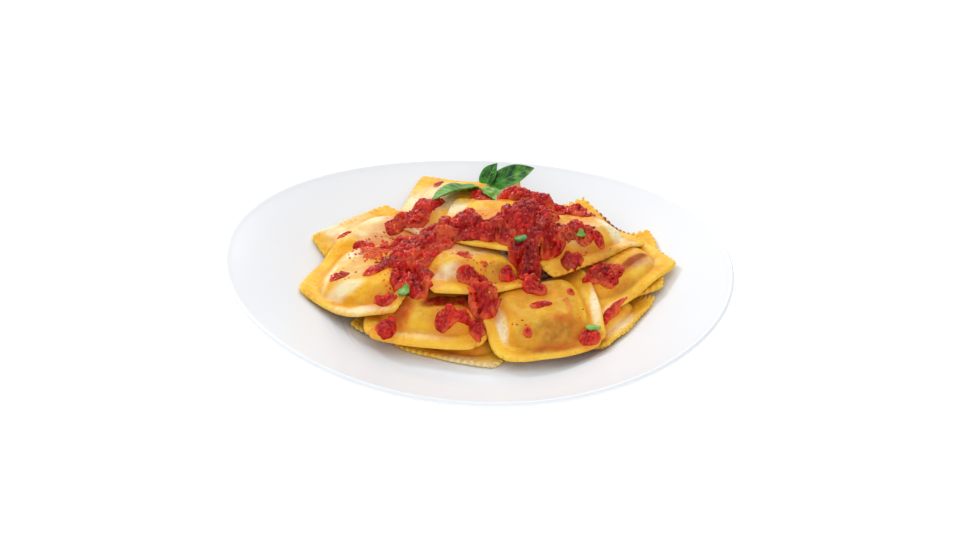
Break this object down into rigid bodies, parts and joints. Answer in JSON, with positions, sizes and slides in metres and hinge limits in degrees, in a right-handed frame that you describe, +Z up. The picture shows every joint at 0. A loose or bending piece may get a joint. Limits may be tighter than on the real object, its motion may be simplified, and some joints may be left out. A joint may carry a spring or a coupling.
{
  "type": "plate of ravioli",
  "caption": "Deep-rimmed round white pasta plate holding a loose heap of square filled ravioli with fluted edges, chunky tomato sauce and basil leaves.",
  "frame": {"origin": "on the plate's axis, at the level of the foot it stands on", "axes": "+Z up along the plate's axis, +X to the eater's right, +Y away from the eater"},
  "size_m": [0.267, 0.267, 0.0606],
  "materials": {
    "glaze": "glossy white glaze",
    "pasta": "moist egg dough with a sheen of oil",
    "sauce": "wet, grainy crushed tomato",
    "basil": "fresh leaf with a soft sheen"
  },
  "bodies": {
    "root": {"plate": "glaze", "basil_bit_back": "basil", "basil_bit_centre": "basil", "basil_bit_left": "basil", "basil_bit_right": "basil", "basil_leaf_front": "basil", "basil_leaf_left": "basil", "basil_leaf_right": "basil", "basil_leaf_upright": "basil", "raviolo_back": "pasta", "raviolo_back_right": "pasta", "raviolo_centre": "pasta", "raviolo_core": "pasta", "raviolo_front_left": "pasta", "raviolo_front_right": "pasta", "raviolo_left": "pasta", "raviolo_low_right": "pasta", "raviolo_right": "pasta", "raviolo_top": "pasta", "raviolo_under_back": "pasta", "raviolo_under_front": "pasta", "raviolo_under_left": "pasta", "raviolo_upper_left": "pasta", "raviolo_upper_right": "pasta", "sauce_basil_bed": "sauce", "sauce_blob_left": "sauce", "sauce_dab_centre": "sauce", "sauce_dab_corner": "sauce", "sauce_dab_front": "sauce", "sauce_dab_left": "sauce", "sauce_dab_middle": "sauce", "sauce_front_drop": "sauce", "sauce_front_spur": "sauce", "sauce_heap_back": "sauce", "sauce_heap_far_right": "sauce", "sauce_heap_front": "sauce", "sauce_heap_left": "sauce", "sauce_heap_right": "sauce", "sauce_lobe_left": "sauce", "sauce_ridge": "sauce", "sauce_spoon_right": "sauce", "sauce_spot_corner": "sauce", "sauce_spot_right": "sauce", "sauce_streak_back": "sauce", "sauce_tongue": "sauce"}
  },
  "joints": []
}
